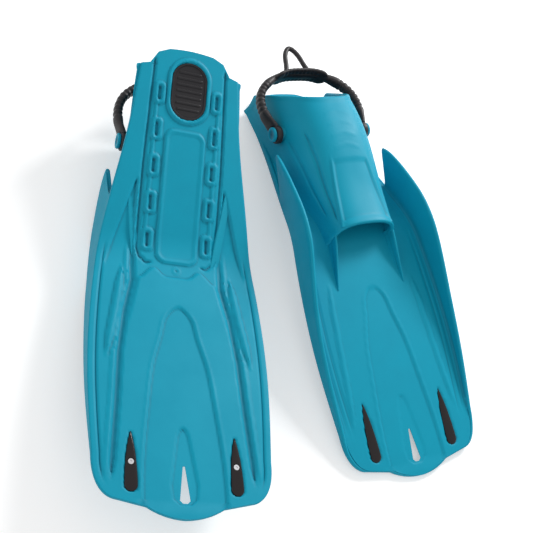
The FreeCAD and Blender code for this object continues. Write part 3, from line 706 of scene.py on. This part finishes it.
@dataclass
class FootPocket:
    """Open-ended shoe with its rims, lugs for the strap and ribs beside the toe opening."""

    wall: float = 4.0
    rear: float = 26.0
    collar_low: float = 30.0
    collar_slope: float = math.radians(39.0)
    power: float = 2.6
    rim: float = 2.2
    lug_radius: float = 6.5
    lug_head_radius: float = 9.5
    lug_head_thick: float = 4.0
    end_thick: float = 8.0
    gap: float = 0.4
    rib_length: float = 58.0
    rib_thick: float = 4.0

    def __post_init__(self) -> None:
        """Sets up the pocket's outside width and height along the foot."""
        self.width = Curve([(26, 116), (105, 122), (153, 118), (210, 105), (266, 88)])
        self.height = Curve([(26, 90), (105, 90), (153, 78.1), (210, 53.3), (266, 36)])

    def arch(self, t: Array, y: Array, depth: Array) -> Array:
        """Point across the arch at y, depth inside the outer skin; t runs from -1 to 1."""
        turn = (1 - np.abs(t)) * math.pi / 2
        half = self.width(y) / 2 - depth
        high = self.height(y) - depth - PLATE_THICK
        x = np.sign(t) * half * np.cos(turn) ** (2 / self.power)
        z = PLATE_THICK + high * np.sin(turn) ** (2 / self.power)
        return np.stack([x, y, z], 1)

    def collar(self, t: Array) -> Array:
        """Where the ankle opening's rim lies along the foot at t."""
        level = self.arch(t, np.full(t.shape, 90.0), 0 * t)[:, 2]
        return self.rear + np.maximum(level - self.collar_low, 0) / math.tan(self.collar_slope)

    def relief(self, x: Array, y: Array, t: Array) -> Array:
        """How far the outside stands out: instep panel, creases and rim beads."""
        a = np.abs(x)
        half = np.interp(y, [185, 262], [24, 33])
        panel = smooth(-1, 1, half - a) * smooth(184, 188, y) * (1 - smooth(257, 260, y))
        out = -1.3 * panel
        out += 0.9 * inside(np.abs(half + 2.6 - a) - 1.1, 0.9) * smooth(176, 190, y)
        out -= 1.6 * rib(np.abs(t) * 60, y, [(30, 128), (29, 180), (34, 240), (38, 262)], 5.0, 0.2)
        out -= 1.1 * rib(np.abs(t) * 60, y, [(46, 118), (45, 170), (47, 250)], 4.0, 0.2)
        for i in range(4):
            out += 0.45 * inside(np.abs(y - 122 - 15 * i - a * 0.25) - 1.6, 1.0) * smooth(0, 4, 20 - a)
        return out

    def shell(self) -> bmesh.types.BMesh:
        """The shoe's wall, with a round rim at the ankle and a lip at the toes."""
        spans = [("outer", 66), ("rim", 6), ("inner", 36), ("lip", 6)]
        counts = [count for _, count in spans]

        def shape(u: Array, v: Array) -> Array:
            """Places the shares u along and v around."""
            t = 2 * u - 1
            part, share = walk(v, counts)
            collar = self.collar(t)
            turn = share * math.pi
            along = np.choose(part, [share, 1 + 0 * share, 1 - share, 0 * share])
            y = TOE_AT + (collar - TOE_AT) * along
            depth = np.choose(part, [
                0 * share, self.wall * (1 - np.cos(turn)) / 2, self.wall + 0 * share,
                self.wall * (1 + np.cos(turn)) / 2])
            bead = 1.2 * (1 - smooth(2, 7, y - collar)) + 0.9 * (1 - smooth(1.5, 5, TOE_AT - y))
            outside = np.choose(part, [1.0, 0.5 + 0.5 * np.cos(turn), 0.0, 0.5 - 0.5 * np.cos(turn)])
            base = self.arch(t, y, depth)
            depth = depth - outside * (bead + self.relief(base[:, 0], y, t) * (part == 0))
            over = np.choose(part, [0 * turn, -np.sin(turn) * self.rim, 0 * turn, np.sin(turn) * self.rim])
            point = self.arch(t, y, depth)
            point[:, 1] += over
            flare = outside * 6.5 * np.exp(-np.maximum(point[:, 2] - PLATE_THICK, 0) / 4.5)
            point[:, 0] += np.sign(t) * flare
            sunk = smooth(0.97, 1.0, np.abs(t))
            point[:, 2] -= 3.5 * sunk
            down = np.maximum(point[:, 1] - (BEND_AT - 22), 0)
            point[:, 2] -= sunk * down**2 / (2 * BEND_RADIUS)
            return point

        return skin(112, sum(counts), shape)

    def end_at(self) -> float:
        """Inner face of the strap's end, clear of the pocket."""
        top = float(self.height(np.array([STRAP_AT]))[0])
        share = (STRAP_HEIGHT - 11.5 - PLATE_THICK) / (top - PLATE_THICK)
        half = float(self.width(np.array([STRAP_AT]))[0]) / 2
        return half * (1 - share**self.power) ** (1 / self.power) + 2 * self.gap

    def lug(self, side: int) -> bmesh.types.BMesh:
        """Post, head and domed cap that one end of the strap swings on."""
        root = self.end_at() - 2.5 * self.wall
        head = self.end_at() + self.end_thick + self.gap
        top = head + self.lug_head_thick
        profile = [(0.0, root), (self.lug_radius + 4, root), (self.lug_radius + 1.4, self.end_at() - 1.0),
                   (self.lug_radius, self.end_at()), (self.lug_radius, head),
                   (self.lug_head_radius - 0.6, head), (self.lug_head_radius, head + 0.6),
                   (self.lug_head_radius, top - 1.0),
                   (self.lug_head_radius - 0.9, top - 0.1), (self.lug_head_radius - 3.0, top),
                   (self.lug_head_radius - 3.6, top - 0.6), (0.0, top - 0.6)]
        return revolved(profile, 48, side)

    def toe_rib(self, side: int) -> bmesh.types.BMesh:
        """Low rib that carries the pocket's wall on along the blade."""
        out = float(self.width(np.array([TOE_AT]))[0]) / 2 - self.rib_thick / 2
        top = Curve([(TOE_AT - 8, 24), (TOE_AT, 22), (TOE_AT + 29, 14.5), (TOE_AT + self.rib_length, 7.4)])

        def shape(u: Array, v: Array) -> Array:
            """Places the shares u along and v around."""
            s = TOE_AT - 8 + (self.rib_length + 8) * u
            turn = 2 * math.pi * v
            half = self.rib_thick / 2 * (1.15 - 0.5 * u)
            high = (top(s) - 2) / 2
            x = out + 7 * u + half * np.sign(np.cos(turn)) * np.abs(np.cos(turn)) ** 0.6
            spread = 2.2 * (1 - smooth(-0.6, 0.1, np.sin(turn)))
            x = x + spread * np.sign(np.cos(turn))
            return np.stack([side * x, s, 2 + high + high * np.sin(turn)], 1)

        mesh = skin(36, 20, shape)
        reposition(mesh, bent(positions(mesh)))
        return mesh

    def mesh(self) -> bmesh.types.BMesh:
        """Everything of the pocket, in the fin's own frame."""
        parts = [self.shell()]
        for side in (1, -1):
            parts += [self.lug(side), self.toe_rib(side)]
        return joined(parts)


def revolved(profile: Points, turns: int, side: int) -> bmesh.types.BMesh:
    """Spins a profile of (radius, x) points about the strap's swing axis."""
    mesh = bmesh.new()
    made = [mesh.verts.new((side * x, STRAP_AT, STRAP_HEIGHT + r)) for r, x in profile]
    edges = [mesh.edges.new(pair) for pair in zip(made, made[1:])]
    bmesh.ops.spin(mesh, geom=made + edges, cent=(0, STRAP_AT, STRAP_HEIGHT), axis=(1, 0, 0),
                   angle=2 * math.pi, steps=turns, use_merge=True)
    bmesh.ops.remove_doubles(mesh, verts=mesh.verts[:], dist=1e-4)
    bmesh.ops.recalc_face_normals(mesh, faces=mesh.faces[:])
    return mesh


@dataclass
class HeelStrap:
    """Silicone strap: two eyes on the lugs, ribbed arms, heel pad and finger loop."""

    end_at: float
    end_thick: float = 8.0
    end_radius: float = 11.5
    lug_radius: float = 6.5
    gap: float = 0.4
    bulge: float = 8.0
    reach: float = 92.0
    rest: float = math.radians(14.0)
    wide: float = 12.0
    thick: float = 8.6
    pad_width: float = 84.0
    pad_tall: float = 26.0
    pad_thick: float = 6.0
    loop_width: float = 46.0
    loop_reach: float = 46.0
    loop_thick: float = 6.5
    rings: int = 7

    def arm_line(self, u: Array) -> Array:
        """Middle of the strap from one lug round the heel to the other."""
        end = self.end_at + self.end_thick / 2
        out, pad = end + self.bulge, self.pad_width / 2
        half = [(end, 4.0), (out, self.reach * 0.4), (out - 5, self.reach * 0.66),
                (pad + 6, self.reach * 0.88), (pad * 0.5, self.reach * 0.99), (0.0, self.reach)]
        return through(np.array(half + [(-x, r) for x, r in reversed(half[:-1])]), u)

    def arm_half(self, u: Array) -> tuple[Array, Array]:
        """Half thickness and half height of the arms: eyes, bells, rings and plain stretches."""
        near = np.minimum(u, 1 - u)
        ringed = smooth(0.105, 0.12, near) * (1 - smooth(0.275, 0.29, near))
        ring = np.abs(np.sin(np.clip((near - 0.115) / 0.17, 0, 1) * self.rings * math.pi)) ** 0.7
        bell = 1 - smooth(0.03, 0.12, near)
        full = smooth(0.05, 0.10, near) * (1 - smooth(0.29, 0.36, near))
        thick = self.thick / 2 * (1 + 0.28 * full - 0.30 * ringed * (1 - ring) - 0.10 * bell)
        tall = self.wide / 2 * (1 + 0.80 * bell + 0.28 * full) * (1 - 0.22 * ringed * (1 - ring))
        closing = np.sqrt(np.clip(near / 0.012, 0, 1))
        return thick * closing, tall * closing

    def pad_line(self, u: Array) -> Array:
        """Middle of the heel pad."""
        half = self.pad_width / 2
        x = half * (1 - 2 * u)
        bow = Curve([(-half, self.reach * 0.9), (-half / 2, self.reach * 0.985), (0, self.reach),
                     (half / 2, self.reach * 0.985), (half, self.reach * 0.9)])
        return np.stack([x, bow(x)], 1)

    def pad_half(self, u: Array) -> tuple[Array, Array]:
        """Half thickness and half height of the pad, softly closed at its ends."""
        near = np.minimum(u, 1 - u)
        closing = np.sqrt(1 - (1 - np.clip(near / 0.14, 0, 1)) ** 2)
        ribs = 1 + 0.10 * np.cos(2 * math.pi * u * 14) * smooth(0.1, 0.2, near)
        closing = np.maximum(closing, 0.02)
        return self.pad_thick / 2 * closing * ribs, self.pad_tall / 2 * closing

    def loop_line(self, u: Array) -> Array:
        """Middle of the finger loop, a rounded triangle."""
        half, mid = self.loop_width / 2, self.loop_thick / 2
        crown = self.reach + self.loop_reach - mid
        points = np.array([(half - mid, self.reach - 2), (half * 0.72 - mid, self.reach + 17),
                           (half * 0.42 - mid * 0.6, crown - 7), (0.0, crown),
                           (mid * 0.6 - half * 0.42, crown - 7), (mid - half * 0.72, self.reach + 17),
                           (mid - half, self.reach - 2)])
        return through(points, u)

    def loop_half(self, u: Array) -> tuple[Array, Array]:
        """Half thickness and half height of the finger loop, the same all along."""
        half = np.full(u.shape, self.loop_thick / 2)
        return half, half

    def eye(self, side: int) -> bmesh.types.BMesh:
        """Round end that turns on the lug, with rounded rims."""
        low, high = self.end_at, self.end_at + self.end_thick
        hole, rim = self.lug_radius + self.gap, self.end_radius
        profile = [(hole, low), (rim - 1.4, low), (rim - 0.4, low + 0.5), (rim, low + 1.5), (rim, high - 1.6),
                   (rim - 0.5, high - 0.5), (rim - 1.6, high), (hole, high), (hole, low)]
        return revolved(profile, 48, side)

    def mesh(self) -> bmesh.types.BMesh:
        """The whole strap at rest, in the fin's own frame."""
        bars = [
            swept(260, 22, self.arm_line, self.arm_half, 2.6),
            swept(84, 26, self.pad_line, self.pad_half, 3.2),
            swept(72, 16, self.loop_line, self.loop_half, 2.1),
        ]
        mesh = joined(bars)
        x, reach, tall = positions(mesh).T
        c, n = math.cos(self.rest), math.sin(self.rest)
        turned = [x, STRAP_AT - reach * c + tall * n, STRAP_HEIGHT + reach * n + tall * c]
        reposition(mesh, np.stack(turned, 1))
        self.clear_head(mesh)
        return joined([mesh, self.eye(1), self.eye(-1)])

    def clear_head(self, mesh: bmesh.types.BMesh) -> None:
        """Keeps the arms out of the lugs' posts and from under their heads."""
        clearance, head_reach = 0.3, 10.5
        places = positions(mesh)
        off = np.hypot(places[:, 1] - STRAP_AT, places[:, 2] - STRAP_HEIGHT)
        side = np.sign(places[:, 0])
        limit = self.end_at + self.end_thick - clearance
        kept = side * np.clip(np.abs(places[:, 0]), self.end_at + clearance, limit)
        places[:, 0] = np.where(off < head_reach, kept, places[:, 0])
        bore = self.lug_radius + self.gap + clearance
        push = np.where(off < bore, bore / np.maximum(off, 0.1), 1)
        places[:, 1] = STRAP_AT + (places[:, 1] - STRAP_AT) * push
        places[:, 2] = STRAP_HEIGHT + (places[:, 2] - STRAP_HEIGHT) * push
        reposition(mesh, places)


def moulded_disc(outline: Callable[[Array], Array], profile: Sequence[tuple[float, float, float]],
                 turns: int) -> bmesh.types.BMesh:
    """Flat moulding round a centre, from a profile run round its outline.

    Args:
        outline: gives the edge's (x, y) rows for shares of the way round, anticlockwise.
        profile: rows of (share of the way out, offset, height), a ring or from centre to centre.
        turns: faces round the outline.

    Returns:
        The closed mesh in (x, y, height), about the centre.
    """
    rows = np.array(profile, float)
    count = len(rows) - 1

    def shape(u: Array, v: Array) -> Array:
        """Places the shares u along and v around."""
        edge = outline(u)
        ahead = outline(u + 1e-3) - outline(u - 1e-3)
        normal = np.stack([ahead[:, 1], -ahead[:, 0]], 1)
        normal /= np.maximum(np.linalg.norm(normal, axis=1), 1e-9)[:, None]
        radial = edge / np.maximum(np.linalg.norm(edge, axis=1), 1e-9)[:, None]
        share, offset, height = (np.interp(v * count, range(count + 1), rows[:, k]) for k in range(3))
        way = share[:, None] * normal + (1 - share[:, None]) * radial
        flat = share[:, None] * edge + offset[:, None] * way
        return np.column_stack([flat, height])

    return skin(turns, count, shape, ring=True)


@dataclass
class TipInsert:
    """Leaf-shaped glossy shell near the tip, on the sole or on the top."""

    width: float = 14.0
    length: float = 64.0
    round_past: float = 24.0
    thick: float = 2.2
    seat: float = 1.4
    hole: float = 1.65
    head: float = 3.3
    slack: float = 0.15

    def outline(self, u: Array) -> Array:
        """Edge of the leaf about its screw; its point looks towards the heel."""
        radius = self.width / 2 - self.slack
        length = self.length - 2 * self.slack
        turn = 2 * math.pi * u
        past = radius - length / 2 - length / 2 * np.cos(turn) * 0.9999
        half = np.maximum(leaf(past, radius, length), 0.02)
        return np.stack([np.sign(np.sin(turn)) * half, past + self.round_past], 1)

    def mesh(self, holed: bool) -> bmesh.types.BMesh:
        """Builds the shell about its screw's axis, height measured out of the blade."""
        face = self.thick
        edge = [(0.68, 0, face + 0.1), (0.84, 0, face - 0.1), (0.94, 0, face - 0.45), (0.99, 0, face - 0.95),
                (1, 0, 0)]
        if holed:
            profile = [(0, self.hole, 0.0), (0, self.hole, 0.35), (0, self.head, 0.6),
                       (0, self.head, face - 0.5), (0, self.head + 0.4, face + 0.1)]
        else:
            profile = [(0, 0, face + 0.3), (0, 2.5, face + 0.28)]
        profile += edge + [(0, self.hole if holed else 0, 0)]
        return moulded_disc(self.outline, profile, 120)


@dataclass
class SoleBadge:
    """Plain oval plate with a raised rim and level grip bars."""

    width: float = 44.0
    length: float = 72.0
    middle: float = 49.0
    thick: float = 2.6
    seat: float = 2.0
    slack: float = 0.15
    bars: int = 7

    def outline(self, u: Array) -> Array:
        """Edge of an upright oval with straight sides."""
        radius = self.width / 2 - self.slack
        reach = (self.length - self.width) / 2
        turn = 2 * math.pi * u
        c, n = np.abs(np.cos(turn)), np.abs(np.sin(turn))
        straight = radius / np.maximum(c, 1e-6)
        end = reach * n + np.sqrt(np.maximum(radius**2 - (reach * c) ** 2, 0))
        far = np.where(straight * n <= reach, straight, end)
        return np.stack([far * np.cos(turn), far * np.sin(turn)], 1)

    def mesh(self) -> bmesh.types.BMesh:
        """Plate, rim and bars, with heights above the sole and the sole side downwards."""
        low = self.seat - self.thick
        profile = [(0, 0, self.seat), (1, -0.3, self.seat), (1, 0, self.seat - 0.3), (1, 0, low + 0.5),
                   (1, -0.5, low), (1, -2.6, low), (1, -3.2, low + 0.9), (0.7, -2.0, low + 0.9),
                   (0, 0, low + 0.9)]
        plate = moulded_disc(self.outline, profile, 96)
        reposition(plate, positions(plate) + np.array([0, self.middle, 0]))
        parts = [plate]
        for i in range(self.bars):
            off = (i - (self.bars - 1) / 2) * 7.6
            half = float(self.chord(off)) - 6.0
            parts.append(self.bar(off, half))
        return joined(parts)

    def chord(self, off: float) -> float:
        """Half the plate's width at a distance from its middle."""
        radius, reach = self.width / 2, (self.length - self.width) / 2
        past = max(abs(off) - reach, 0.0)
        return math.sqrt(max(radius**2 - past**2, 0.0))

    def bar(self, off: float, half: float) -> bmesh.types.BMesh:
        """One round-ended grip bar across the plate."""

        def shape(u: Array, v: Array) -> Array:
            """Places the shares u along and v around."""
            turn = 2 * math.pi * v
            x = -half * np.cos(math.pi * u)
            closing = np.sqrt(np.clip(1 - (np.maximum(np.abs(x) - half + 1.7, 0) / 1.7) ** 2, 0.0004, 1))
            y = self.middle + off + 1.7 * closing * np.cos(turn)
            return np.stack([x, y, self.seat - self.thick + 1.0 + 1.1 * closing * np.sin(turn)], 1)

        return skin(28, 14, shape)


@dataclass
class SwimFin:
    """One fin: blade, foot pocket, strap, badge, inserts and their screws."""

    fin: FinFrame
    materials: dict[str, bpy.types.Material]

    def build(self) -> None:
        """Builds and dresses every piece."""
        blade, pocket = Blade(), FootPocket()
        rubber, body = self.materials["teal"], "fins"
        piece("blade_moulding", blade.mesh(), self.fin, body, rubber, ["blade"], 62)
        piece("pocket_moulding", pocket.mesh(), self.fin, body, rubber, ["foot_pocket"], 60)
        strap = HeelStrap(end_at=pocket.end_at())
        piece("strap_moulding", strap.mesh(), self.fin, f"{self.fin.side}_strap",
              self.materials["charcoal"], ["heel_strap"], 60)
        piece("badge_plate", SoleBadge().mesh(), self.fin, body, self.materials["badge"],
              ["sole_badge"], 40)
        self.inserts(blade)
        for name in ("inner", "outer"):
            self.dress(f"{name}_screw", "steel")
            self.dress(f"{name}_bush", "brass")

    def inserts(self, blade: Blade) -> None:
        """Seats the four glossy shells on the blade."""
        at = blade.screw_at
        level = float(blade.thick(np.array([at]))[0])
        gloss = self.materials["insert"]
        for name, x in (("inner", -blade.insert_x), ("outer", blade.insert_x)):
            for face, holed, length in (("sole", True, 64.0), ("top", False, 70.0)):
                shell = TipInsert(length=length)
                mesh = shell.mesh(holed)
                dx, ds, height = positions(mesh).T
                up = shell.seat - height if face == "sole" else level - shell.seat + height
                reposition(mesh, bent(np.stack([x + dx, at + ds, up], 1)))
                bmesh.ops.recalc_face_normals(mesh, faces=mesh.faces[:])
                piece(f"{name}_{face}_shell", mesh, self.fin, "fins", gloss,
                      [f"{name}_{face}_insert"], 45)

    def dress(self, node: str, finish: str) -> None:
        """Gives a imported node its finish."""
        data = frame["nodes"][f"{self.fin.side}_{node}"].data
        data.materials.clear()
        data.materials.append(self.materials[finish])


# ----------------------------------------------------------------- the studio


@dataclass
class Studio:
    """Pale floor, soft lamps and the camera."""

    eye: tuple[float, float, float] = (-0.442, -0.562, 0.979)
    forward: tuple[float, float, float] = (0.3529, 0.4750, -0.8061)
    up: tuple[float, float, float] = (-0.1291, 0.8780, 0.4609)
    lens: float = 65.4
    floor_size: float = 8.0

    def floor(self) -> None:
        """Pale floor that looks white to the camera and still takes shadows."""
        mesh = bmesh.new()
        bmesh.ops.create_grid(mesh, x_segments=1, y_segments=1, size=self.floor_size / 2)
        data = bpy.data.meshes.new("studio_floor")
        mesh.to_mesh(data)
        mesh.free()
        made = bpy.data.materials.new("studio_floor")
        made.use_nodes = True
        nodes, links = made.node_tree.nodes, made.node_tree.links
        shader = nodes["Principled BSDF"]
        shader.inputs["Base Color"].default_value = (0.86, 0.86, 0.86, 1)
        shader.inputs["Roughness"].default_value = 0.9
        shader.inputs["Specular IOR Level"].default_value = 0.1
        shader.inputs["Emission Color"].default_value = (1, 1, 1, 1)
        links.new(self.seen(nodes, links, 0.42), shader.inputs["Emission Strength"])
        data.materials.append(made)
        obj = bpy.data.objects.new("studio_floor", data)
        bpy.context.scene.collection.objects.link(obj)

    @staticmethod
    def seen(nodes: Nodes, links: Links, strength: float) -> Socket:
        """Strength for rays that come from the camera or off a gloss, else 0."""
        path = nodes.new("ShaderNodeLightPath")
        total = path.outputs["Is Camera Ray"]
        for name in ("Is Glossy Ray", "Is Transmission Ray"):
            add = nodes.new("ShaderNodeMath")
            add.operation = "ADD"
            add.use_clamp = True
            links.new(total, add.inputs[0])
            links.new(path.outputs[name], add.inputs[1])
            total = add.outputs[0]
        scale = nodes.new("ShaderNodeMath")
        scale.operation = "MULTIPLY"
        scale.inputs[1].default_value = strength
        links.new(total, scale.inputs[0])
        return scale.outputs[0]

    def lamp(self, name: str, place: tuple, size: float, watts: float, aim: tuple = (0, 0, 0.04)) -> None:
        """One square soft box aimed at the fins."""
        data = bpy.data.lights.new(name, "AREA")
        data.shape, data.size, data.energy = "SQUARE", size, watts
        obj = bpy.data.objects.new(name, data)
        obj.location = place
        obj.rotation_euler = (Vector(aim) - Vector(place)).to_track_quat("-Z", "Y").to_euler()
        bpy.context.scene.collection.objects.link(obj)

    def world(self) -> None:
        """Even white surroundings, brighter to the camera."""
        world = bpy.data.worlds.new("studio")
        bpy.context.scene.world = world
        world.use_nodes = True
        nodes, links = world.node_tree.nodes, world.node_tree.links
        back = nodes["Background"]
        back.inputs["Color"].default_value = (1, 1, 1, 1)
        base = nodes.new("ShaderNodeMath")
        base.operation = "ADD"
        base.inputs[1].default_value = 0.42
        links.new(self.seen(nodes, links, 0.54), base.inputs[0])
        links.new(base.outputs[0], back.inputs["Strength"])

    def camera(self) -> None:
        """Camera above the near end of the fins."""
        data = bpy.data.cameras.new("camera")
        data.lens, data.sensor_width = self.lens, 36.0
        data.clip_start, data.clip_end = 0.05, 30.0
        obj = bpy.data.objects.new("camera", data)
        forward, up = Vector(self.forward).normalized(), Vector(self.up)
        right = forward.cross(up).normalized()
        up = right.cross(forward)
        turn = Matrix((right, up, -forward)).transposed().to_4x4()
        obj.matrix_world = Matrix.Translation(Vector(self.eye)) @ turn
        bpy.context.scene.collection.objects.link(obj)
        bpy.context.scene.camera = obj

    def build(self) -> None:
        """Sets the whole stage."""
        self.floor()
        self.world()
        self.lamp("key", (1.1, 1.2, 1.1), 0.55, 31.0)
        self.lamp("fill", (-1.6, -0.2, 0.9), 1.2, 5.0)
        self.lamp("front", (0.2, -1.7, 1.3), 1.0, 4.0)
        self.camera()
        bpy.context.scene.view_settings.view_transform = "Standard"


def main() -> None:
    """Builds both fins and the stage, and notes the sizes."""
    logging.basicConfig(level=logging.INFO, format="%(name)s: %(message)s")
    finishes = {"teal": TEAL, "charcoal": CHARCOAL, "badge": BADGE_BLACK, "insert": INSERT_BLACK,
                "steel": STEEL, "brass": BRASS}
    materials = {name: finish.material() for name, finish in finishes.items()}
    for side in ("left", "right"):
        SwimFin(FinFrame.of(side), materials).build()
    Studio().build()
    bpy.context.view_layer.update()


if __name__ == "__main__":
    main()
